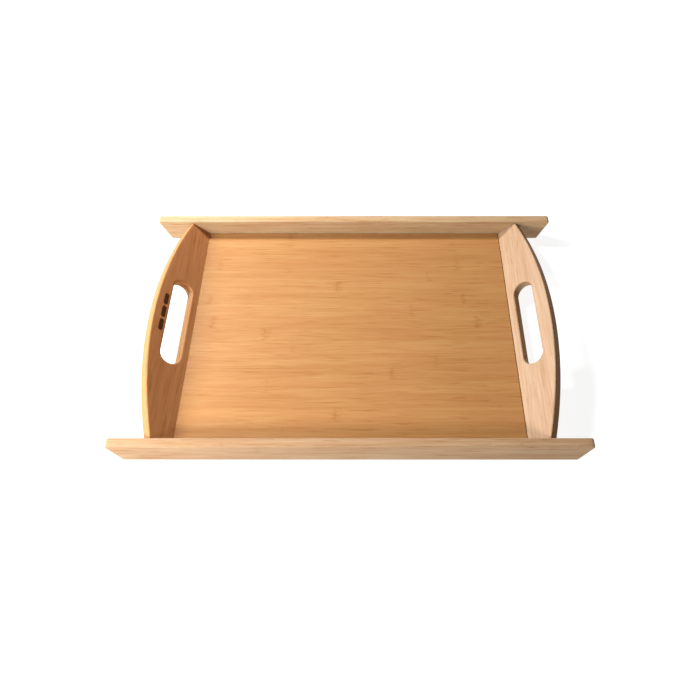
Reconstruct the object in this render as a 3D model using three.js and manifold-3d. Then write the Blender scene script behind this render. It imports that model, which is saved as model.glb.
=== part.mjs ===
// Serving tray in laminated bamboo: two long rails, two leaning handle boards, a grooved-in
// floor panel and the blind dowels that hold the four butt joints.
// Millimetres, +Z up, +X along the tray's length, +Y towards the back rail. The origin is on
// the table, under the middle of the tray.
import * as THREE from 'three';
import { mergeVertices } from 'three/addons/utils/BufferGeometryUtils.js';
import Module from 'manifold-3d';

// ---- driving dimensions -------------------------------------------------------------------
const FLOOR_LENGTH = 362;       // clear length of the floor, between the handle boards
const FLOOR_DEPTH = 294;        // clear depth, between the rails
const FLOOR_TOP = 10;           // height of the serving face above the table

const PANEL_THICKNESS = 5.5;
const TONGUE_THICKNESS = 3.5;   // the panel is rebated to a tongue all round
const TONGUE_REACH = 3.5;       // how far the tongue enters a board
const FIT_GAP = 0.3;            // clearance of loose fits: tongues in grooves, dowels in holes

const RAIL_LENGTH = 484;        // at the rail's top, the longest point
const RAIL_HEIGHT = 30.6;
const RAIL_THICKNESS = 10.6;
const RAIL_END_SLANT = 20;      // degrees, each end is cut back towards the table
const RAIL_ROUND = 2;           // radius of the rail's long arrises

const HANDLE_LEAN = 45;         // degrees from upright, leaning away from the floor
const HANDLE_THICKNESS = 11;
const HANDLE_END_RISE = 25;     // board above the floor line, measured up the slope, at a rail
const HANDLE_MIDDLE_RISE = 49.5; // the same at the middle of the arch
const HANDLE_ROUND = 2;         // radius of the arch's and the slot's arrises
const GLUE_LINE = 0.2;          // between a handle board's end and the rail

const SLOT_LENGTH = 110;        // hand slot, end to end
const SLOT_WIDTH = 23.4;
const SLOT_RISE = 20.3;         // slot's centre line above the floor line, up the slope

const DOWEL_DIAMETER = 5;
const DOWEL_IN_RAIL = 6;
const DOWEL_IN_HANDLE = 12;
const DOWEL_RISES = [9.5, 19];  // up the slope, two in each corner

const ROUND_STEPS = 3;          // facets of a quarter round
const ARCH_STEPS = 32;          // facets of a handle board's arched top
const SLOT_END_STEPS = 12;      // facets of each half-round slot end
const DOWEL_SIDES = 20;

// ---- materials ----------------------------------------------------------------------------
const bamboo = {
  rail: { color: 0xdeb07c, roughness: 0.42, metalness: 0 },
  handle: { color: 0xd9a673, roughness: 0.42, metalness: 0 },
  panel: { color: 0xe6a565, roughness: 0.38, metalness: 0 },
  dowel: { color: 0xd8c19a, roughness: 0.7, metalness: 0 },
};

// ---- solids -------------------------------------------------------------------------------
const wasm = await Module();
wasm.setup();

/** Closed three.js geometry to a solid that can be cut. */
function solidOf(geometry) {
  const bare = geometry.clone();
  bare.deleteAttribute('normal');
  bare.deleteAttribute('uv');
  const merged = mergeVertices(bare, 1e-4);
  const vertProperties = new Float32Array(merged.attributes.position.array);
  const triVerts = new Uint32Array(merged.index.array);
  return new wasm.Manifold(new wasm.Mesh({ numProp: 3, vertProperties, triVerts }));
}

/** Solid back to three.js geometry. */
function geometryOf(solid) {
  const mesh = solid.getMesh();
  const geometry = new THREE.BufferGeometry();
  geometry.setAttribute('position', new THREE.BufferAttribute(new Float32Array(mesh.vertProperties), 3));
  geometry.setIndex(new THREE.BufferAttribute(new Uint32Array(mesh.triVerts), 1));
  geometry.computeVertexNormals();
  return geometry;
}

/** Block from its lowest to its highest corner. */
function block(low, high) {
  const size = high.map((value, axis) => value - low[axis]);
  const geometry = new THREE.BoxGeometry(...size);
  geometry.translate(...low.map((value, axis) => value + size[axis] / 2));
  return solidOf(geometry);
}

/** Round bar along Y. */
function barAlongY(radius, x, z, fromY, toY) {
  const geometry = new THREE.CylinderGeometry(radius, radius, toY - fromY, DOWEL_SIDES);
  geometry.translate(x, (fromY + toY) / 2, z);
  return solidOf(geometry);
}

function cutAll(solid, cutters) {
  return cutters.reduce((left, cutter) => left.subtract(cutter), solid);
}

// ---- places shared by the pieces ----------------------------------------------------------
const lean = THREE.MathUtils.degToRad(HANDLE_LEAN);
const halfLength = FLOOR_LENGTH / 2;
const halfDepth = FLOOR_DEPTH / 2;
const ROOM = 20;                // how far a cutter stands clear of what it cuts

/** X and Z of a point of the right handle board: up the slope from the floor line, and in from
 *  the board's inner face towards its outer one. */
function onHandle(rise, depth) {
  return {
    x: halfLength + rise * Math.sin(lean) + depth * Math.cos(lean),
    z: FLOOR_TOP + rise * Math.cos(lean) - depth * Math.sin(lean),
  };
}

const dowelPlaces = DOWEL_RISES.map((rise) => onHandle(rise, HANDLE_THICKNESS / 2));

const tongueTop = FLOOR_TOP - (PANEL_THICKNESS - TONGUE_THICKNESS) / 2;
const tongueHalfLength = halfLength + TONGUE_REACH;
const tongueHalfDepth = halfDepth + TONGUE_REACH;

/** The groove for the panel's tongue, as one flat block that every board is cut by. */
const grooveCutter = block(
  [-tongueHalfLength - FIT_GAP, -tongueHalfDepth - FIT_GAP, tongueTop - TONGUE_THICKNESS - FIT_GAP],
  [tongueHalfLength + FIT_GAP, tongueHalfDepth + FIT_GAP, tongueTop + FIT_GAP],
);

/** Holes for every dowel, in the rails and in the handle boards' ends. */
const dowelHoleCutters = [];
for (const sideX of [-1, 1]) {
  for (const sideY of [-1, 1]) {
    for (const place of dowelPlaces) {
      const ends = [
        sideY * (halfDepth - DOWEL_IN_HANDLE - FIT_GAP),
        sideY * (halfDepth + DOWEL_IN_RAIL + FIT_GAP),
      ].sort((a, b) => a - b);
      const radius = DOWEL_DIAMETER / 2 + FIT_GAP;
      dowelHoleCutters.push(barAlongY(radius, sideX * place.x, place.z, ...ends));
    }
  }
}

// ---- the boards ---------------------------------------------------------------------------

/** Points of a circular arc, turning anticlockwise from one angle to the other. */
function arcPoints(x, y, radius, fromAngle, toAngle, steps) {
  return new THREE.EllipseCurve(x, y, radius, radius, fromAngle, toAngle).getPoints(steps);
}

/** Rectangle with its corners rounded, centred on the origin. */
function roundedRectangle(width, height, radius) {
  const x = width / 2 - radius;
  const y = height / 2 - radius;
  const corners = [[x, y], [-x, y], [-x, -y], [x, -y]];
  return new THREE.Shape(corners.flatMap(([cornerX, cornerY], quarter) => arcPoints(
    cornerX, cornerY, radius, quarter * Math.PI / 2, (quarter + 1) * Math.PI / 2, ROUND_STEPS,
  )));
}

/** Rail at the origin of its own section: long arrises rounded, ends cut on the slant. */
function railBlank() {
  const section = roundedRectangle(RAIL_THICKNESS, RAIL_HEIGHT, RAIL_ROUND);
  const length = RAIL_LENGTH + 2 * ROOM;
  const geometry = new THREE.ExtrudeGeometry(section, { depth: length, bevelEnabled: false });
  geometry.translate(0, 0, -length / 2);
  // the section's width lies along Y, its height along Z and its length along X
  geometry.applyMatrix4(new THREE.Matrix4().makeBasis(
    new THREE.Vector3(0, 1, 0), new THREE.Vector3(0, 0, 1), new THREE.Vector3(1, 0, 0),
  ));
  const endCutters = [-1, 1].map((side) => {
    const cutter = new THREE.BoxGeometry(4 * ROOM, 4 * RAIL_THICKNESS, 6 * RAIL_HEIGHT);
    cutter.translate(side * 2 * ROOM, 0, 0);
    cutter.rotateY(side * THREE.MathUtils.degToRad(RAIL_END_SLANT));
    cutter.translate(side * RAIL_LENGTH / 2, 0, RAIL_HEIGHT / 2);
    return solidOf(cutter);
  });
  return cutAll(solidOf(geometry), endCutters);
}

/** One rail in its place; side is -1 for the front, 1 for the back. */
function railSolid(side) {
  const placed = railBlank().translate([
    0, side * (halfDepth + RAIL_THICKNESS / 2), RAIL_HEIGHT / 2,
  ]);
  return cutAll(placed, [grooveCutter, ...dowelHoleCutters]);
}

/** Outline of a handle board in its own plane: across the tray, and up the slope. */
function handleOutline(inset) {
  const sag = HANDLE_MIDDLE_RISE - HANDLE_END_RISE;
  const radius = (halfDepth ** 2 + sag ** 2) / (2 * sag);
  const centreRise = HANDLE_MIDDLE_RISE - radius;
  const halfAngle = Math.asin((halfDepth + ROOM) / radius);
  const lowest = -2 * ROOM;

  const arch = arcPoints(
    0, centreRise, radius - inset, Math.PI / 2 - halfAngle, Math.PI / 2 + halfAngle, ARCH_STEPS,
  );
  const shape = new THREE.Shape([
    ...arch,
    new THREE.Vector2(-halfDepth - ROOM, lowest),
    new THREE.Vector2(halfDepth + ROOM, lowest),
  ]);

  const straight = (SLOT_LENGTH - SLOT_WIDTH) / 2;
  const slotRadius = SLOT_WIDTH / 2 + inset;
  shape.holes.push(new THREE.Path([
    ...arcPoints(straight, SLOT_RISE, slotRadius, -Math.PI / 2, Math.PI / 2, SLOT_END_STEPS),
    ...arcPoints(-straight, SLOT_RISE, slotRadius, Math.PI / 2, 1.5 * Math.PI, SLOT_END_STEPS),
  ]));
  return shape;
}

/** Handle board in its place; side is -1 for the left, 1 for the right. */
function handleSolid(side) {
  const geometry = new THREE.ExtrudeGeometry(handleOutline(HANDLE_ROUND), {
    depth: HANDLE_THICKNESS - 2 * HANDLE_ROUND,
    bevelThickness: HANDLE_ROUND,
    bevelSize: HANDLE_ROUND,
    bevelSegments: ROUND_STEPS,
  });
  geometry.translate(0, 0, HANDLE_ROUND);
  // outline x runs across the tray, outline y up the slope, and the thickness outwards
  const across = new THREE.Vector3(0, side, 0);
  const upSlope = new THREE.Vector3(side * Math.sin(lean), 0, Math.cos(lean));
  const outwards = new THREE.Vector3(side * Math.cos(lean), 0, -Math.sin(lean));
  geometry.applyMatrix4(new THREE.Matrix4().makeBasis(across, upSlope, outwards));
  geometry.translate(side * halfLength, 0, FLOOR_TOP);

  const reach = halfLength + 4 * ROOM;
  const end = halfDepth - GLUE_LINE;
  const belowTable = block([-reach, -reach, -4 * ROOM], [reach, reach, 0]);
  const frontEnd = block([-reach, -reach, -4 * ROOM], [reach, -end, 4 * ROOM]);
  const backEnd = block([-reach, end, -4 * ROOM], [reach, reach, 4 * ROOM]);
  return cutAll(solidOf(geometry), [belowTable, frontEnd, backEnd, grooveCutter, ...dowelHoleCutters]);
}

/** Floor panel: the serving face with a thinner tongue all round. */
function panelSolid() {
  const bottom = FLOOR_TOP - PANEL_THICKNESS;
  // the panel's underside stays clear of the leaning boards, which meet it further in
  const undersideHalfLength = halfLength - PANEL_THICKNESS * Math.tan(lean) - GLUE_LINE;
  const shoulderY = halfDepth - GLUE_LINE;
  const tongue = block(
    [-tongueHalfLength, -tongueHalfDepth, tongueTop - TONGUE_THICKNESS],
    [tongueHalfLength, tongueHalfDepth, tongueTop],
  );
  const upper = panelSlab(tongueTop - GLUE_LINE, FLOOR_TOP, shoulderY);
  const lower = block(
    [-undersideHalfLength, -shoulderY, bottom],
    [undersideHalfLength, shoulderY, tongueTop - TONGUE_THICKNESS + GLUE_LINE],
  );
  return tongue.add(upper).add(lower);
}

/** Slab whose ends lean with the handle boards and stop one glue line short of them. */
function panelSlab(bottom, top, halfWidth) {
  const reach = (z) => halfLength - (FLOOR_TOP - z) * Math.tan(lean) - GLUE_LINE;
  const profile = new THREE.Shape();
  profile.moveTo(-reach(bottom), bottom);
  profile.lineTo(reach(bottom), bottom);
  profile.lineTo(reach(top), top);
  profile.lineTo(-reach(top), top);
  profile.closePath();
  const geometry = new THREE.ExtrudeGeometry(profile, { depth: 2 * halfWidth, bevelEnabled: false });
  geometry.rotateX(Math.PI / 2);
  geometry.translate(0, halfWidth, 0);
  return solidOf(geometry);
}

/** Dowel with chamfered ends, lying along Y and centred on the origin. */
function dowelGeometry() {
  const radius = DOWEL_DIAMETER / 2;
  const half = (DOWEL_IN_RAIL + DOWEL_IN_HANDLE) / 2;
  const chamfer = 0.8;
  return new THREE.LatheGeometry([
    new THREE.Vector2(0, -half),
    new THREE.Vector2(radius - chamfer, -half),
    new THREE.Vector2(radius, -half + chamfer),
    new THREE.Vector2(radius, half - chamfer),
    new THREE.Vector2(radius - chamfer, half),
    new THREE.Vector2(0, half),
  ], DOWEL_SIDES);
}

// ---- assembly -----------------------------------------------------------------------------
const tray = new THREE.Group();

function addPiece(name, geometry, finish, position = [0, 0, 0]) {
  const piece = new THREE.Mesh(geometry, new THREE.MeshStandardMaterial(finish));
  piece.name = name;
  piece.position.set(...position);
  tray.add(piece);
}

addPiece('front_rail', geometryOf(railSolid(-1)), bamboo.rail);
addPiece('back_rail', geometryOf(railSolid(1)), bamboo.rail);
addPiece('left_handle_board', geometryOf(handleSolid(-1)), bamboo.handle);
addPiece('right_handle_board', geometryOf(handleSolid(1)), bamboo.handle);
addPiece('floor_panel', geometryOf(panelSolid()), bamboo.panel);

for (const [sideX, xName] of [[-1, 'left'], [1, 'right']]) {
  for (const [sideY, yName] of [[-1, 'front'], [1, 'back']]) {
    dowelPlaces.forEach((place, index) => {
      const rank = index === 0 ? 'lower' : 'upper';
      const middle = sideY * (halfDepth + (DOWEL_IN_RAIL - DOWEL_IN_HANDLE) / 2);
      addPiece(`${rank}_dowel_${xName}_${yName}`, dowelGeometry(), bamboo.dowel, [
        sideX * place.x, middle, place.z,
      ]);
    });
  }
}

export default tray;
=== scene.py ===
# %% [markdown]
# # A bamboo serving tray
#
# The tray is five boards: two upright rails, two handle boards that lean outward and a floor
# panel let into all four. The joints are glued and held by blind dowels. In this lesson each
# board is worked out as a surface of two parameters, given soft arrises, and finished as
# lacquered bamboo: strips glued side by side, with fibres and node rings running through the
# whole thickness. The boards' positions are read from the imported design.

# %% Load the design
import math

import bpy
import numpy as np
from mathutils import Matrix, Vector


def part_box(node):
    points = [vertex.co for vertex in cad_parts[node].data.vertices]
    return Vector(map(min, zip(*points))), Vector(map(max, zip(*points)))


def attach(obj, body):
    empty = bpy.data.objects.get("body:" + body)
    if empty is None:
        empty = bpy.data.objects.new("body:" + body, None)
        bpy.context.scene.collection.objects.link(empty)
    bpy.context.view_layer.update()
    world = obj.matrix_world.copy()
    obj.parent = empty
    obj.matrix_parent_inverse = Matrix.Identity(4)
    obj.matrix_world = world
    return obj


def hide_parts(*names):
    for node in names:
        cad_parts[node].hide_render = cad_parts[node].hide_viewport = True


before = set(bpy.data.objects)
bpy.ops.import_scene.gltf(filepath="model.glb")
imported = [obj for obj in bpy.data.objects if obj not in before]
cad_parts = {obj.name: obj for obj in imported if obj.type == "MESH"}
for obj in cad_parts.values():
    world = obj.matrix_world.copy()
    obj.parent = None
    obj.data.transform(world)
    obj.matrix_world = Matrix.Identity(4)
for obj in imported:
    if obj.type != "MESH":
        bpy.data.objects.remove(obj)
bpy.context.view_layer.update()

# %% [markdown]
# ## Sizes
#
# Positions come from the boxes of the design's nodes. A box can't tell an angle, the slot or
# the roundings, so those are repeated here from the design, in metres.

# %% Sizes
RAIL_LOW, RAIL_HIGH = (np.array(corner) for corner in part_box("back_rail"))
PANEL_LOW, PANEL_HIGH = (np.array(corner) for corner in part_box("floor_panel"))

TONGUE_REACH = 0.0035           # how far the panel's tongue enters the boards
TONGUE_THICKNESS = 0.0035
SHOULDER = 0.001                # step from the serving face down to the tongue
GLUE_LINE = 0.0002

FLOOR_TOP = PANEL_HIGH[2]
HALF_LENGTH = PANEL_HIGH[0] - TONGUE_REACH
HALF_DEPTH = PANEL_HIGH[1] - TONGUE_REACH

RAIL_HEIGHT = RAIL_HIGH[2] - RAIL_LOW[2]
RAIL_THICKNESS = RAIL_HIGH[1] - RAIL_LOW[1]
RAIL_HALF = RAIL_HIGH[0]
RAIL_END_SLANT = math.radians(20)

LEAN = math.radians(45)
HANDLE_THICKNESS = 0.011
HANDLE_END_RISE = 0.025         # up the slope, from the floor line
HANDLE_MIDDLE_RISE = 0.0495
HANDLE_HALF = HALF_DEPTH - GLUE_LINE
SLOT_LENGTH = 0.110
SLOT_WIDTH = 0.0234
SLOT_RISE = 0.0203

ARRIS = 0.002                   # radius of a sanded edge
print(f"floor {2000 * HALF_LENGTH:.0f} x {2000 * HALF_DEPTH:.0f} mm, rails {2000 * RAIL_HALF:.0f} mm")

# %% [markdown]
# ## Boards as surfaces
#
# A sanded board is an outline swept round its own edge: it starts on one face, rolls over the
# first arris, crosses the edge, rolls over the second arris and ends on the other face. The
# outline is the first parameter and this roll is the second, so a whole board is one grid of
# points. A bevel modifier could round a box too, but it can't keep the joint ends square while
# the arch is soft, and a grid lets each column have its own radius.

# %% The roll over an edge
ROUND_STEPS = 7                 # points on each quarter circle
SUPPORT = 0.0005                # a narrow flat row beside each arris keeps the shading flat


def roll(thickness, radius):
    """How far in from the outline, and how deep, each row of the edge lies: a quarter circle
    from one face to the edge, the flat of the edge, and a quarter circle to the other face.
    radius may hold one value per column; the results are (rows, columns)."""
    radius = np.atleast_1d(radius)[None, :]
    turn = np.linspace(0, np.pi / 2, ROUND_STEPS)[:, None]
    inset = radius * (1 - np.sin(turn))
    depth = radius * (1 - np.cos(turn))
    flat_in = np.zeros_like(radius)
    first = np.vstack([inset, flat_in, flat_in])
    first_depth = np.vstack([depth, radius + SUPPORT / 2, 0 * radius + thickness * 0.45])
    insets = np.vstack([first, first[::-1]])
    depths = np.vstack([first_depth, thickness - first_depth[::-1]])
    return insets, depths


def softness():
    """1 on the middle of each arris and 0 on the faces, for every row of the roll."""
    turn = np.sin(2 * np.linspace(0, np.pi / 2, ROUND_STEPS))
    side = np.concatenate([turn, [0, 0]])
    return np.concatenate([side, side[::-1]])


print("rows in a roll:", len(softness()))


# %% [markdown]
# A grid whose columns close on themselves is a tube. If its rows close too it is a ring, which
# is what a board with a slot is. If they don't, each end is filled with a patch of quads
# between its four sides. The signed volume of the closed mesh tells whether its faces point
# outward, so a mirrored board is turned round without guessing.

# %% From grids to meshes
def quads_between(ids, close_rows, close_columns):
    """Corner numbers of the quads between neighbouring entries of a grid of vertex numbers."""
    if close_rows:
        ids = np.vstack([ids, ids[:1]])
    if close_columns:
        ids = np.hstack([ids, ids[:, :1]])
    corners = [ids[:-1, :-1], ids[:-1, 1:], ids[1:, 1:], ids[1:, :-1]]
    return np.stack(corners, axis=-1).reshape(-1, 4)


def patch(loop, long_side, short_side, first_id, loop_ids):
    """Fills a loop of four sides with a grid. Each inner point is the blend of the two points
    across from it on either pair of sides, less the blend of the corners counted twice."""
    a, b = long_side, short_side
    n = len(loop)
    top = np.arange(0, a + 1)
    left = np.arange(a, a + b + 1)
    bottom = np.arange(a + b, 2 * a + b + 1)[::-1]
    right = np.r_[np.arange(2 * a + b, n), 0][::-1]
    u = np.linspace(0, 1, a + 1)[:, None, None]
    v = np.linspace(0, 1, b + 1)[None, :, None]
    across = (1 - v) * loop[top][:, None] + v * loop[bottom][:, None]
    along = (1 - u) * loop[right][None] + u * loop[left][None]
    corner = ((1 - u) * (1 - v) * loop[0] + u * (1 - v) * loop[a]
              + (1 - u) * v * loop[2 * a + b] + u * v * loop[a + b])
    points = across + along - corner
    ids = np.zeros((a + 1, b + 1), int)
    ids[:, 0], ids[-1, :] = loop_ids[top], loop_ids[left]
    ids[:, -1], ids[0, :] = loop_ids[bottom], loop_ids[right]
    inner = points[1:-1, 1:-1]
    ids[1:-1, 1:-1] = first_id + np.arange(inner.shape[0] * inner.shape[1]).reshape(inner.shape[:2])
    return inner.reshape(-1, 3), ids


def capped_stack(loops, long_side, short_side):
    """Points and quads of a stack of loops, with a patch over the first and the last loop."""
    count, columns = loops.shape[:2]
    ids = np.arange(count * columns).reshape(count, columns)
    points, quads = [loops.reshape(-1, 3)], [quads_between(ids, False, True)]
    total = count * columns
    for row, turned in ((0, True), (count - 1, False)):
        inner, patch_ids = patch(loops[row], long_side, short_side, total, ids[row])
        total += len(inner)
        points.append(inner)
        faces = quads_between(patch_ids, False, False)
        quads.append(faces if turned else faces[:, ::-1])
    return np.vstack(points), np.vstack(quads)


def mesh_object(name, points, quads, arris):
    """Makes the object, with its faces outward and its arris attribute filled."""
    a, b, c, d = (points[quads[:, k]] for k in range(4))
    volume = ((a * np.cross(b, c)).sum() + (a * np.cross(c, d)).sum()) / 6
    if volume < 0:
        quads = quads[:, ::-1]
    mesh = bpy.data.meshes.new(name)
    mesh.vertices.add(len(points))
    mesh.vertices.foreach_set("co", points.astype(np.float32).ravel())
    mesh.loops.add(quads.size)
    mesh.loops.foreach_set("vertex_index", quads.astype(np.int32).ravel())
    mesh.polygons.add(len(quads))
    mesh.polygons.foreach_set("loop_start", np.arange(0, quads.size, 4, dtype=np.int32))
    mesh.polygons.foreach_set("use_smooth", np.ones(len(quads), bool))
    mesh.update(calc_edges=True)
    mesh.attributes.new("arris", "FLOAT", "POINT").data.foreach_set("value", arris.astype(np.float32))
    mesh.validate()
    piece = bpy.data.objects.new(name, mesh)
    bpy.context.collection.objects.link(piece)
    print(f"{name}: {len(points)} points, {len(quads)} quads, {abs(volume) * 1e6:.1f} cm3")
    return piece


# %% [markdown]
# ## The rails
#
# A rail is a straight board on edge. Seen from the side its ends slant, so that the top is
# longer than the foot, and the corners of that outline are rounded too. Its outline is drawn
# in the upright plane, as four lines and four arcs whose centres stay put when the outline
# shrinks, which is what lets the arrises roll over evenly even round the corners.

# %% Rails
RAIL_CORNER = 0.0028            # radius of the rail's corners seen from the side
CORNER_STEPS = 8                # even, so that each arc has a middle point
RAIL_COLUMNS = 90
END_COLUMNS = 10


def rail_outline(inset):
    """Points of the rail's outline, moved in by inset: four arcs joined by lines. A side of
    the patch runs from the middle of one arc to the middle of the next. Returns the points and
    how many steps a long and a short side have."""
    slant = math.tan(RAIL_END_SLANT)
    tip = math.radians(90) - RAIL_END_SLANT          # angle of the sharp upper corner
    from_tip = RAIL_CORNER / math.tan(tip / 2)
    from_heel = RAIL_CORNER / math.tan((math.pi - tip) / 2)
    foot_half = RAIL_HALF - RAIL_HEIGHT * slant
    upper_x, upper_z = RAIL_HALF - from_tip, RAIL_HEIGHT - RAIL_CORNER
    lower_x, lower_z = foot_half - from_heel, RAIL_CORNER
    end_angle = -RAIL_END_SLANT                      # the end face looks out and down
    arcs = [
        ((upper_x, upper_z), end_angle, math.pi / 2),
        ((-upper_x, upper_z), math.pi / 2, math.pi - end_angle),
        ((-lower_x, lower_z), math.pi - end_angle, 1.5 * math.pi),
        ((lower_x, lower_z), -math.pi / 2, end_angle),
    ]
    half = CORNER_STEPS // 2
    rounds = []
    for (x, z), start, stop in arcs:
        angle = np.linspace(start, stop, CORNER_STEPS + 1)
        radius = RAIL_CORNER - inset
        rounds.append(np.stack([x + radius * np.cos(angle), z + radius * np.sin(angle)], -1))
    sides = []
    for k, columns in enumerate([RAIL_COLUMNS, END_COLUMNS, RAIL_COLUMNS, END_COLUMNS]):
        first, second = rounds[k], rounds[(k + 1) % 4]
        line = np.linspace(first[-1], second[0], columns + 1)[1:-1]
        sides.append(np.vstack([first[half:], line, second[:half]]))
    return np.vstack(sides), RAIL_COLUMNS + CORNER_STEPS, END_COLUMNS + CORNER_STEPS


def rail(name, side):
    """A rail in its place: the outline lies in x and z, the roll runs through y."""
    insets, depths = roll(RAIL_THICKNESS, ARRIS)
    face_rows = [(ARRIS + SUPPORT, 0.0)]
    rows = face_rows + list(zip(insets[:, 0], depths[:, 0])) + [(ARRIS + SUPPORT, RAIL_THICKNESS)]
    soft = np.concatenate([[0], softness(), [0]])
    loops = []
    for inset, depth in rows:
        outline, long_side, short_side = rail_outline(inset)
        y = np.full(len(outline), side * (HALF_DEPTH + depth))
        loops.append(np.stack([outline[:, 0], y, outline[:, 1]], -1))
    points, quads = capped_stack(np.array(loops), long_side, short_side)
    rolled = np.repeat(soft, len(outline))
    arris = np.zeros(len(points))
    arris[: len(rolled)] = rolled
    return mesh_object(name, points, quads, arris)


front_rail = rail("front_rail_board", -1)
back_rail = rail("back_rail_board", 1)

# %% [markdown]
# ## The handle boards
#
# A handle board has a hole, so its two faces are rings between the slot and the outline, and
# the whole skin is a closed ring: out along the inner face, over the arched edge, back along
# the outer face and through the slot. The arch and the slot are sanded round. The two ends and
# the foot are sawn square, because they meet the rails and the table.

# %% Outline of a handle board
ARCH_COLUMNS = 96               # along the arch, and along the foot
SAWN_COLUMNS = 12               # along each end
SAWN_ARRIS = 0.00025            # radius of an edge left as sawn
FOOT_RISE = -FLOOR_TOP / math.cos(LEAN)


def arch_rise(y):
    """Height up the slope of the arched edge, an arc through both ends and the middle, and the
    steepness of that edge."""
    sag = HANDLE_MIDDLE_RISE - HANDLE_END_RISE
    radius = (HALF_DEPTH ** 2 + sag ** 2) / (2 * sag)
    over_centre = np.sqrt(radius ** 2 - y ** 2)
    return HANDLE_MIDDLE_RISE - radius + over_centre, -y / over_centre


def handle_outline():
    """Columns of the outline as (across, rise), the direction in which each moves when the
    outline shrinks by one unit, and each column's arris radius."""
    y = np.linspace(HANDLE_HALF, -HANDLE_HALF, ARCH_COLUMNS + 1)
    rise, slope = arch_rise(y)
    arch = np.stack([y, rise], -1)
    arch_in = np.stack([0 * y, -np.sqrt(1 + slope ** 2)], -1)
    end_in = SAWN_ARRIS / ARRIS
    arch_in[0, 0], arch_in[-1, 0] = -end_in, end_in
    down = np.linspace(HANDLE_END_RISE - 1.4 * ARRIS, FOOT_RISE, SAWN_COLUMNS + 1)[:-1]
    left = np.stack([0 * down - HANDLE_HALF, down], -1)
    foot = np.stack([-y, 0 * y + FOOT_RISE], -1)
    foot_in = np.stack([0 * y, 0 * y + 1], -1)
    foot_in[0, 0], foot_in[-1, 0] = 1, -1
    right = np.stack([0 * down + HANDLE_HALF, down[::-1]], -1)
    outline = np.vstack([arch, left, foot, right])
    left_in, right_in = np.tile([1, 0], (len(left), 1)), np.tile([-1, 0], (len(right), 1))
    inward = np.vstack([arch_in, left_in, foot_in, right_in])
    radius = np.full(len(outline), SAWN_ARRIS)
    radius[: len(arch)] = ARRIS
    return outline, inward, radius


print("outline columns:", len(handle_outline()[0]))

# %% [markdown]
# The slot needs one point for every column of the outline, so that the faces between them are
# quads. It is walked as four runs that answer the arch, one end, the foot and the other end.

# %% Outline of the slot
SLOT_ARC = 12                   # steps of an eighth of the slot's round end


def slot_outline(inset, columns_of):
    """The slot as (across, rise), grown by inset: two half circles and two straights, with one
    point for every column of the outline."""
    straight = (SLOT_LENGTH - SLOT_WIDTH) / 2
    radius = SLOT_WIDTH / 2 + inset

    def run(count, start, stop):
        """Half of one round end, the straight across, and half of the other round end."""
        eighth = np.linspace(0, np.pi / 4, SLOT_ARC + 1)
        first, last = start + eighth, stop - eighth[::-1]
        side_first = np.sign(np.cos(start)) * straight
        a = np.stack([side_first + radius * np.cos(first), SLOT_RISE + radius * np.sin(first)], -1)
        b = np.stack([-side_first + radius * np.cos(last), SLOT_RISE + radius * np.sin(last)], -1)
        middle = np.linspace(a[-1], b[0], count - 2 * (SLOT_ARC + 1) + 2)[1:-1]
        return np.vstack([a, middle, b])

    def end(count, centre, start, stop):
        """The middle of a round end."""
        angle = np.linspace(start, stop, count + 2)[1:-1]
        return np.stack([centre + radius * np.cos(angle), SLOT_RISE + radius * np.sin(angle)], -1)

    arch_count, end_count, foot_count = columns_of
    quarter = np.pi / 4
    return np.vstack([
        run(arch_count, quarter, 3 * quarter),
        end(end_count, -straight, 3 * quarter, 5 * quarter),
        run(foot_count, 5 * quarter, 7 * quarter),
        end(end_count, straight, -quarter, quarter),
    ])


# %% [markdown]
# The rows of the ring are laid in the board's own plane first, and then leaned into place. The
# face between slot and outline is divided unevenly, with narrow rows beside the arrises, which
# keeps its shading flat.

# %% Handle boards
FACE_STEPS = [0.03, 0.12, 0.3, 0.5, 0.7, 0.88, 0.97]    # shares of the way out from the slot


def on_handle(side, across, rise, depth):
    """Places points of a handle board: up the slope by rise, and outward by depth."""
    x = side * (HALF_LENGTH + rise * math.sin(LEAN) + depth * math.cos(LEAN))
    z = FLOOR_TOP + rise * math.cos(LEAN) - depth * math.sin(LEAN)
    return np.stack([x, across, z], -1)


def handle_board(name, side):
    """A closed ring: the outline's roll, then the outer face, the slot's roll and the inner
    face. Below the slot, rise grows with depth so that the foot is level with the table."""
    outline, inward, radius = handle_outline()
    insets, depths = roll(HANDLE_THICKNESS, radius)
    edge = outline[None] + inward[None] * insets[..., None]
    slot_insets, slot_depths = roll(HANDLE_THICKNESS, np.full(len(outline), ARRIS))
    counts = (ARCH_COLUMNS + 1, SAWN_COLUMNS, ARCH_COLUMNS + 1)
    hole = np.array([slot_outline(inset, counts) for inset in slot_insets[:, 0]])
    flat = np.array(FACE_STEPS)[:, None, None]
    inner_face = hole[0] + (edge[0] - hole[0]) * flat
    outer_face = edge[-1] + (hole[-1] - edge[-1]) * (1 - flat[::-1])
    rows = np.vstack([inner_face, edge, outer_face, hole[::-1]])
    zero = np.zeros((len(FACE_STEPS), len(outline)))
    depth = np.vstack([zero, depths, zero + HANDLE_THICKNESS, slot_depths[::-1]])
    soft = np.concatenate([zero[:, 0], softness(), zero[:, 0], softness()[::-1]])

    slot_foot = SLOT_RISE - SLOT_WIDTH / 2 - 2 * ARRIS
    share = np.clip((slot_foot - rows[..., 1]) / (slot_foot - FOOT_RISE), 0, 1)
    rise = rows[..., 1] + share * depth * math.tan(LEAN)
    points = on_handle(side, rows[..., 0], rise, depth)
    points[..., 2] = np.maximum(points[..., 2], 0)
    ids = np.arange(points.shape[0] * points.shape[1]).reshape(points.shape[:2])
    arris = np.repeat(soft, points.shape[1])
    return mesh_object(name, points.reshape(-1, 3), quads_between(ids, True, True), arris)


left_handle = handle_board("left_handle", -1)
right_handle = handle_board("right_handle", 1)

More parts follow.
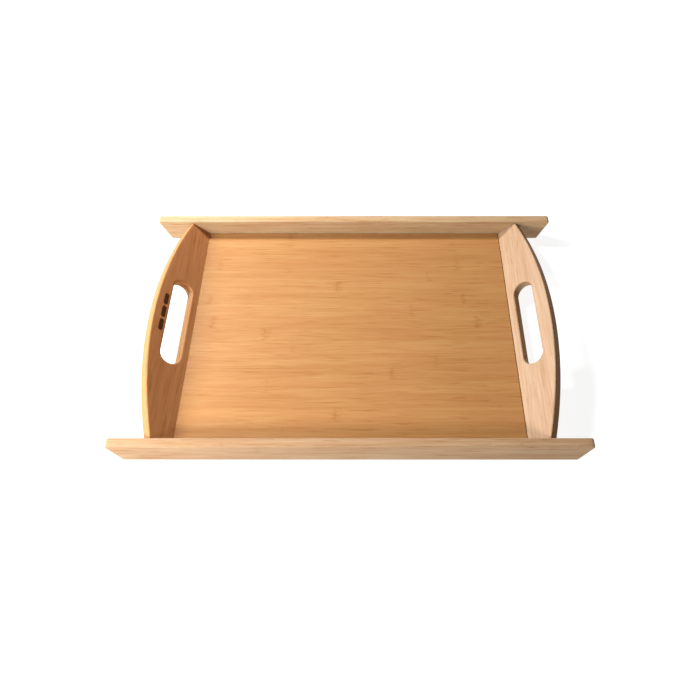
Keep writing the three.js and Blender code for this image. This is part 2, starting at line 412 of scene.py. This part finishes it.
# %% [markdown]
# ## The floor panel
#
# The panel is rebated all round: its serving face stops at the boards, and a thinner tongue
# goes on into their grooves. It is a stack of rectangles, each a little larger or smaller than
# the one below, closed by a patch above and below. Its ends lean with the handle boards.

# %% Floor panel
PANEL_COLUMNS, PANEL_ROWS = 60, 48
PANEL_CORNER = 0.0004           # how far the panel's corners are eased


def rectangle(half_x, half_y, z):
    """Points of a level rectangle, anticlockwise from its far right corner."""
    x = np.linspace(half_x, -half_x, PANEL_COLUMNS + 1)[:-1]
    y = np.linspace(half_y, -half_y, PANEL_ROWS + 1)[:-1]
    sides = [
        np.stack([x, 0 * x + half_y], -1), np.stack([0 * y - half_x, y], -1),
        np.stack([-x, 0 * x - half_y], -1), np.stack([0 * y + half_x, -y], -1),
    ]
    flat = np.vstack(sides)
    return np.column_stack([flat, np.full(len(flat), z)])


def floor_panel():
    """Stack of rectangles from the underside to the serving face."""
    underside, top = PANEL_LOW[2], FLOOR_TOP
    tongue_top = top - SHOULDER
    tongue_low = tongue_top - TONGUE_THICKNESS
    lean = math.tan(LEAN)

    def inside(z):
        return HALF_LENGTH - (FLOOR_TOP - z) * lean - GLUE_LINE

    deep = HALF_DEPTH - GLUE_LINE
    reach_x, reach_y = HALF_LENGTH + TONGUE_REACH, HALF_DEPTH + TONGUE_REACH
    low_x = inside(underside)
    ease = PANEL_CORNER
    stack = [
        (low_x - 2 * ease, deep - 2 * ease, underside), (low_x - ease, deep - ease, underside),
        (low_x, deep, underside + ease), (low_x, deep, tongue_low),
        (reach_x - ease, reach_y - ease, tongue_low), (reach_x, reach_y, tongue_low + ease),
        (reach_x, reach_y, tongue_top - ease), (reach_x - ease, reach_y - ease, tongue_top),
        (inside(tongue_top), deep, tongue_top), (inside(top - ease), deep, top - ease),
        (inside(top) - ease, deep - ease, top), (inside(top) - 3 * ease, deep - 3 * ease, top),
    ]
    loops = np.array([rectangle(*level) for level in stack])
    points, quads = capped_stack(loops, PANEL_COLUMNS, PANEL_ROWS)
    return mesh_object("floor_board", points, quads, np.zeros(len(points)))


panel = floor_panel()

# %% [markdown]
# ## Shader sums as Python sums
#
# A bamboo finish is a long sum of small patterns. Wrapping a socket in a class whose operators
# add Math nodes lets the sum be written and read as one, and one method makes every other node.

# %% A small language for materials
class Wire:
    """A socket that can stand in a Python expression."""

    def __init__(self, tree, socket):
        self.tree, self.socket = tree, socket

    def _math(self, operation, *values):
        return self.tree.node("ShaderNodeMath", {"operation": operation}, list(values))

    def __add__(self, other): return self._math("ADD", self, other)
    def __radd__(self, other): return self._math("ADD", other, self)
    def __sub__(self, other): return self._math("SUBTRACT", self, other)
    def __rsub__(self, other): return self._math("SUBTRACT", other, self)
    def __mul__(self, other): return self._math("MULTIPLY", self, other)
    def __rmul__(self, other): return self._math("MULTIPLY", other, self)
    def __truediv__(self, other): return self._math("DIVIDE", self, other)
    def __rtruediv__(self, other): return self._math("DIVIDE", other, self)
    def __pow__(self, other): return self._math("POWER", self, other)
    def __rpow__(self, other): return self._math("POWER", other, self)
    def floor(self): return self._math("FLOOR", self)
    def fraction(self): return self._math("FRACT", self)
    def size(self): return self._math("ABSOLUTE", self)
    def least(self, other): return self._math("MINIMUM", self, other)
    def most(self, other): return self._math("MAXIMUM", self, other)


class Finish:
    """A material being written: node() makes any node, and the rest are short cuts to it."""

    def __init__(self, name, roughness, coat, coat_roughness, specular=0.5):
        self.material = bpy.data.materials.new(name)
        self.material.use_nodes = True
        self.nodes, self.links = self.material.node_tree.nodes, self.material.node_tree.links
        self.shader = self.nodes["Principled BSDF"]
        constants = {"Roughness": roughness, "Coat Weight": coat, "Coat Roughness": coat_roughness,
                     "Specular IOR Level": specular}
        for socket, value in constants.items():
            self.shader.inputs[socket].default_value = value

    def node(self, kind, settings=None, sockets=(), output=0):
        """Adds a node. Settings come first; sockets is a list in order or a dict by name."""
        made = self.nodes.new(kind)
        for key, value in (settings or {}).items():
            setattr(made, key, value)
        pairs = sockets.items() if isinstance(sockets, dict) else enumerate(sockets)
        for key, value in pairs:
            if isinstance(value, Wire):
                self.links.new(value.socket, made.inputs[key])
            else:
                made.inputs[key].default_value = value
        return Wire(self, made.outputs[output])

    def vector(self, x, y, z):
        return self.node("ShaderNodeCombineXYZ", None, [x, y, z])

    def dot(self, first, second):
        """How far the first vector reaches along the second."""
        return self.node("ShaderNodeVectorMath", {"operation": "DOT_PRODUCT"}, [first, second], "Value")

    def ramp(self, value, low, high, to_low=0.0, to_high=1.0):
        """A smooth step from to_low at low to to_high at high."""
        settings = {"interpolation_type": "SMOOTHSTEP"}
        return self.node("ShaderNodeMapRange", settings, [value, low, high, to_low, to_high])

    def bell(self, value, width):
        """1 where value is 0, fading to nothing over about twice the width."""
        scaled = value / width
        return math.e ** (scaled * scaled * -1)

    def noise(self, vector, scale, detail=2.0, roughness=0.5):
        settings = {"noise_dimensions": "3D"}
        return self.node("ShaderNodeTexNoise", settings, {
            "Vector": vector, "Scale": scale, "Detail": detail, "Roughness": roughness,
        })

    def mix(self, share, first, second):
        """The first colour at share 0, the second at share 1. The node has sockets for other
        kinds of value too; 0, 6 and 7 are the share and the two colours."""
        sockets = {0: share, 6: first, 7: second}
        return self.node("ShaderNodeMix", {"data_type": "RGBA"}, sockets, 2)

    def parts(self, wire):
        """The three channels of a colour."""
        split = self.node("ShaderNodeSeparateColor", None, [wire], "Red").socket.node
        return [Wire(self, split.outputs[channel]) for channel in ("Red", "Green", "Blue")]

    def set(self, socket, wire):
        """Drives one socket of the shader."""
        self.links.new(wire.socket, self.shader.inputs[socket])

    def give(self, piece, slot):
        """Puts the finish on a piece; the slot name is not used."""
        piece.data.materials.clear()
        piece.data.materials.append(self.material)


def colour(red, green, blue):
    """A colour as seen on a display, 0 to 255, turned to the linear values a shader wants."""
    def linear(value):
        value /= 255
        return value / 12.92 if value <= 0.04045 else ((value + 0.055) / 1.055) ** 2.4
    return (linear(red), linear(green), linear(blue), 1.0)


# %% [markdown]
# ## Bamboo
#
# Bamboo board is made of strips, here 17 mm wide, split from the culm, planed and glued edge to
# edge and in plies. The pattern is worked out through the whole thickness in millimetres along
# the grain, across the strips and through the plies, so faces, edges and slots agree as in real
# wood. A flat pattern wrapped on the faces would not meet itself at the edges.

# %% Millimetres along, across and through
def measured(f, axes):
    """Three distances in millimetres, from the (direction, origin) pairs of a board."""
    place = f.node("ShaderNodeTexCoord", None, (), "Object")
    distances = []
    for direction, origin in axes:
        millimetres = tuple(1000 * part for part in direction)
        distances.append(f.dot(place, millimetres) - 1000 * origin)
    return distances


# %% [markdown]
# Every 23 to 36 cm a strip crosses a node of the culm: a thin dark ring with a soft stain on
# both sides, round which the fibres swerve. Each strip has its nodes at its own places, and
# some are much fainter than others.

# %% Nodes of the culm
def culm_nodes(f, along, across, through, drawn):
    """The ring, the stain and the sideways swerve, from three numbers drawn for the strip."""
    spread, offset, shift = drawn
    spacing = 230 + 130 * spread
    from_node = ((along / spacing + offset * 7.0).fraction() - 0.5) * spacing
    uneven = f.noise(f.vector(along * 0.05, across * 0.22, through * 0.2 + shift * 40), 1.0) - 0.5
    cloud = f.noise(f.vector(along * 0.16, across * 0.3, through * 0.3 + shift * 25), 1.0, 3.0, 0.6)
    strength = f.ramp(offset, 0.1, 1.0, 0.15, 1.0)
    ring = f.bell(from_node + uneven * 7.0, 1.0) * strength * cloud
    stain = f.bell(from_node + uneven * 12.0 - 1.0, 4.2) * strength * f.ramp(cloud, 0.3, 0.7)
    return ring, stain, f.bell(from_node, 9.0) * uneven * 5.0


# %% [markdown]
# Fibres are noise stretched along the grain, at four widths: broad bands, streaks, fine bundles
# and short dark dashes. Each strip reads its own part of the noise, so they break at a seam.

# %% Fibres
def fibres(f, along, lane, through, own):
    """Coarse, streak and fine around zero, and dash from 0 to 1."""
    def grain(length, width, detail, roughness=0.5, lift=0.0):
        place = f.vector(along * length, lane * width + own, through * width + lift)
        return f.noise(place, 1.0, detail, roughness)

    coarse = grain(0.006, 0.13, 3.0) - 0.5
    streak = grain(0.018, 0.55, 3.0, 0.6) - 0.5
    fine = grain(0.05, 2.6, 2.0, 0.6) - 0.5
    dash = f.ramp(grain(0.03, 0.42, 2.0, lift=9.0), 0.56, 0.72)
    return coarse, streak, fine, dash


# %% [markdown]
# The finish adds these up into one tone between a light and a dark colour. Sawn ends drink more
# lacquer and go darker, sawn long edges can have a colour of their own, and arrises that hands
# rub are paler. The same patterns roughen the lacquer and raise a very slight relief.

# %% Bamboo finish
def bamboo(name, axes, light, dark, seed, contrast=0.6, edge=None, mark=None):
    """axes gives three (direction, origin) pairs: along the grain, across, and through. edge is
    the colour of the sawn long edges, if they differ from the faces. mark is a function that
    returns how burnt the wood is, from 0 to 1."""
    strip, ply = 17.0, 3.7          # width and thickness of one strip, mm
    f = Finish(name, roughness=0.55, coat=0.03, coat_roughness=0.40, specular=0.08)
    along, across, through = measured(f, axes)

    # which strip of which ply, and three numbers drawn for it
    layer = (through / ply + 0.5).floor()
    strips = across / strip + layer * 0.37 + seed
    cell = f.vector(strips.floor(), layer, seed)
    drawn = f.parts(f.node("ShaderNodeTexWhiteNoise", {"noise_dimensions": "3D"}, [cell], "Color"))
    spread, own = drawn[0], drawn[2] * 90.0

    ring, stain, swerve = culm_nodes(f, along, across, through, drawn)
    lane = across + swerve
    coarse, streak, fine, dash = fibres(f, along, lane, through, own)
    hue = f.noise(f.vector(along * 0.011, lane * 0.035 + own, through * 0.03), 1.0, 1.0)
    seam = f.bell((strips.fraction() - 0.5).size() * strip - strip / 2, 0.2)
    glue = f.bell(((through / ply).fraction() - 0.5) * ply, 0.12)
    normal = f.node("ShaderNodeNewGeometry", None, (), "Normal")
    end = f.ramp(f.dot(normal, axes[0][0]).size(), 0.55, 0.95)
    worn = f.node("ShaderNodeAttribute", {"attribute_name": "arris"}, (), "Fac")

    tone = coarse * 0.7 + streak * 0.9 + fine * 0.5 + dash * 0.35 + (spread - 0.5) * 0.2
    tone = 0.5 + contrast * tone
    tone = tone + seam * 0.05 + glue * 0.12 + stain * 0.22 + ring * 0.2 + end * 0.14 - worn * 0.08
    share = f.ramp(tone, 0.0, 1.0)
    rosy = (light[0] * 0.98, light[1] * 0.91, light[2] * 0.93, 1.0)
    paint = f.mix(share, f.mix(f.ramp(hue, 0.35, 0.65), light, rosy), dark)
    if edge:
        deeper = tuple(0.72 * part for part in edge[:3]) + (1.0,)
        sawn = f.ramp(f.dot(normal, axes[1][0]).size(), 0.6, 0.9)
        paint = f.mix(sawn, paint, f.mix(share, edge, deeper))
    rough = 0.55 + fine * 0.18 + streak * 0.1 + end * 0.15 - worn * 0.05
    height = fine * 0.6 + streak * 0.5 - seam * 0.4 - glue * 0.2 + ring * 0.5
    if mark:
        burn = mark(f, along, across, through)
        paint = f.mix(burn, paint, colour(74, 44, 22))
        rough, height = rough + burn * 0.25, height - burn * 1.5
    relief = {"Strength": 0.25, "Distance": 0.00006, "Height": height}
    f.set("Base Color", paint)
    f.set("Roughness", rough)
    f.set("Normal", f.node("ShaderNodeBump", None, relief))
    print(f"{name}: {len(f.nodes)} nodes")
    return f


# %% [markdown]
# The left handle carries a burnt mark on its inner face, above the slot. Here it is three
# rounded bars end to end, like the joints of a cane. Each bar is the set of points closer to a
# short line than a radius, and the scorch fades over a millimetre beyond it.

# %% Burnt mark
MARK_MIDDLE, MARK_RISE = 4.0, 37.8      # where it sits along the board and up its slope, mm
BAR_PITCH, BAR_HALF, BAR_RADIUS = 17.5, 7.6, 2.6


def cane_mark(f, along, across, through):
    """How burnt the wood is, from 0 to 1."""
    place = (along - MARK_MIDDLE) / BAR_PITCH
    bar = (place + 0.5).floor().least(1.0).most(-1.0)
    beside = ((place - bar) * BAR_PITCH).size() - (BAR_HALF - BAR_RADIUS)
    above = across - MARK_RISE
    distance = (beside.most(0.0) ** 2.0 + above * above) ** 0.5 - BAR_RADIUS
    ragged = f.noise(f.vector(along * 0.35, across * 1.1, 4.0), 1.0, 3.0) - 0.5
    distance = distance + ragged * 0.9
    scorch = f.ramp(distance, 0.35, -0.35, 0.0, 0.88) + f.bell(distance.most(0.0), 0.9) * 0.12
    return scorch * f.ramp(through, 0.9, 0.5)


# %% [markdown]
# The rails and the right handle are pale, and the panel is closer to honey. Each board is given
# its own pair of colours. The rails and the panel differ as boards from different culms would.
# The two handles are one bamboo under different light: the left handle is the brownest, which is
# painted shade, and the right handle's paleness is a painted sheen. The handles' sawn edges share
# one colour.

# %% One finish for each board
LEVEL_X, LEVEL_Y, UPRIGHT = (1, 0, 0), (0, 1, 0), (0, 0, 1)
HANDLE_EDGE = colour(176, 130, 84)


def handle_axes(side):
    """Along the board's length, up its slope, and through its thickness."""
    slope = (side * math.sin(LEAN), 0, math.cos(LEAN))
    outward = (side * math.cos(LEAN), 0, -math.sin(LEAN))
    corner = np.array([side * HALF_LENGTH, 0, FLOOR_TOP])
    return [(LEVEL_Y, 0.0), (slope, float(corner @ slope)), (outward, float(corner @ outward))]


def rail_axes(side):
    """Along the rail, up from the table, and through its thickness."""
    return [(LEVEL_X, 0.0), (UPRIGHT, 0.0), ((0, side, 0), HALF_DEPTH)]


panel_axes = [(LEVEL_X, 0.0), (LEVEL_Y, 0.0), (UPRIGHT, FLOOR_TOP)]
floor_finish = bamboo("floor_bamboo", panel_axes, colour(177, 135, 86), colour(145, 94, 48), 3.0)
front_finish = bamboo("front_rail_bamboo", rail_axes(-1), colour(177, 150, 119),
                      colour(146, 108, 70), 11.0, contrast=0.8)
back_finish = bamboo("back_rail_bamboo", rail_axes(1), colour(188, 165, 130),
                     colour(158, 119, 78), 17.0, contrast=0.8)
# painted shade: the left handle's browner, darker colour pair stands for its inner face lying in shade
left_painted_shade_finish = bamboo("left_handle_bamboo_painted_shade", handle_axes(-1), colour(200, 144, 94),
                     colour(168, 104, 57), 23.0, contrast=0.85, edge=HANDLE_EDGE, mark=cane_mark)
# painted sheen: the right handle's paler colour pair stands for light and gloss falling on its inner
# face
right_painted_sheen_finish = bamboo("right_handle_bamboo_painted_sheen", handle_axes(1), colour(178, 156, 133),
                      colour(149, 115, 83), 31.0, contrast=0.8, edge=HANDLE_EDGE)

floor_finish.give(panel, "panel_bamboo")
front_finish.give(front_rail, "rail_bamboo")
back_finish.give(back_rail, "rail_bamboo")
left_painted_shade_finish.give(left_handle, "handle_bamboo")
right_painted_sheen_finish.give(right_handle, "handle_bamboo")

# %% [markdown]
# ## Dowels
#
# The dowels are sealed in the joints, so the design's own nodes serve. They get the plain look
# of turned beech.

# %% Dowels
dowel_finish = Finish("dowel_wood", roughness=0.6, coat=0.0, coat_roughness=0.5)
dowel_place = dowel_finish.node("ShaderNodeTexCoord", None, (), "Object")
dowel_place = dowel_finish.node("ShaderNodeVectorMath", {"operation": "MULTIPLY"},
                                [dowel_place, (900, 60, 900)])
dowel_grain = dowel_finish.noise(dowel_place, 1.0, 3.0)
beech = dowel_finish.mix(dowel_grain, colour(222, 196, 156), colour(196, 164, 120))
dowel_finish.set("Base Color", beech)
dowel_finish.set("Roughness", 0.55 + dowel_grain * 0.15)
dowels = [node for name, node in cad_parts.items() if "dowel" in name]
for dowel in dowels:
    dowel.data.materials.clear()
    dowel.data.materials.append(dowel_finish.material)
print("dowels:", len(dowels))

# %% [markdown]
# ## Bodies
#
# Nothing moves on the tray, so every board rides on the one body and stands for its own node.

# %% Bodies
for piece, node in ((front_rail, "front_rail"), (back_rail, "back_rail"), (panel, "floor_panel"),
                    (left_handle, "left_handle_board"), (right_handle, "right_handle_board")):
    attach(piece, "root")
    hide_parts(node)
    print(f"{piece.name} stands for {node}")

# %% [markdown]
# ## Studio
#
# The tray lies on a white light table, which glows as well as reflects. A lit sheet would show
# the tray's whole shadow; on a glowing one only a faint trace of it is left.

# %% Light table
table_mesh = bpy.data.meshes.new("table")
REACH = 6.0
corners = [(-REACH, -REACH, 0), (REACH, -REACH, 0), (REACH, REACH, 0), (-REACH, REACH, 0)]
table_mesh.from_pydata(corners, [], [(0, 1, 2, 3)])
table = bpy.data.objects.new("table", table_mesh)
bpy.context.collection.objects.link(table)
table_finish = Finish("table_white", roughness=0.9, coat=0.0, coat_roughness=0.5, specular=0.0)
table_finish.shader.inputs["Base Color"].default_value = (0.3, 0.3, 0.3, 1)
table_finish.shader.inputs["Emission Color"].default_value = (1, 1, 1, 1)
table_finish.shader.inputs["Emission Strength"].default_value = 0.88
table_mesh.materials.append(table_finish.material)
print("light table:", 2 * REACH, "m square")

# %% [markdown]
# Three lamps stand on the left. The small one behind draws the crisp line of shade under the
# back rail and only grazes the left board's inner face, the low one in front lights the front
# rail, and the wide one fills in from the side. They are close, because light from nearby falls
# off across the tray. The room is dim, so that edges turned away from the lamps stay dark.

# %% Lamps and room
def lamp(name, place, aim, width, power):
    """A square soft box that faces its aim."""
    light = bpy.data.lights.new(name, "AREA")
    light.size, light.energy = width, power
    holder = bpy.data.objects.new(name, light)
    bpy.context.collection.objects.link(holder)
    holder.location = place
    holder.rotation_euler = (Vector(aim) - Vector(place)).to_track_quat("-Z", "Y").to_euler()
    print(f"{name} lamp: {power} W, {(Vector(aim) - Vector(place)).length:.2f} m away")


lamp("back_left", (-0.45, 0.45, 0.60), (0, 0, 0), 0.12, 10.0)
lamp("near_left", (-0.42, -0.50, 0.30), (0, 0, 0), 0.15, 4.9)
lamp("side_left", (-1.00, -0.20, 0.60), (0, 0, 0), 0.30, 14.7)

world = bpy.data.worlds.new("dim_room")
world.use_nodes = True
world.node_tree.nodes["Background"].inputs["Color"].default_value = (1, 1, 1, 1)
world.node_tree.nodes["Background"].inputs["Strength"].default_value = 0.12
bpy.context.scene.world = world
bpy.context.scene.view_settings.view_transform = "Standard"

# %% [markdown]
# ## Camera
#
# The camera stands in front of the tray and a little to its right, looking down steeply with a
# wide lens, which is why the front rail looks so much longer than the back one. The lens is
# shifted slightly sideways instead of turned, so the rails stay level in the view.

# %% Camera
camera_data = bpy.data.cameras.new("camera")
camera_data.sensor_width = 36
camera_data.lens = 34.26
camera_data.shift_x = -0.0275
camera_data.clip_start = 0.01
camera = bpy.data.objects.new("camera", camera_data)
bpy.context.collection.objects.link(camera)
camera.location = (0.0190, -0.4404, FLOOR_TOP + 0.6144)
camera.rotation_euler = (math.radians(90 - 56.23), 0, 0)
bpy.context.scene.camera = camera
print("camera:", [round(part, 3) for part in camera.location])
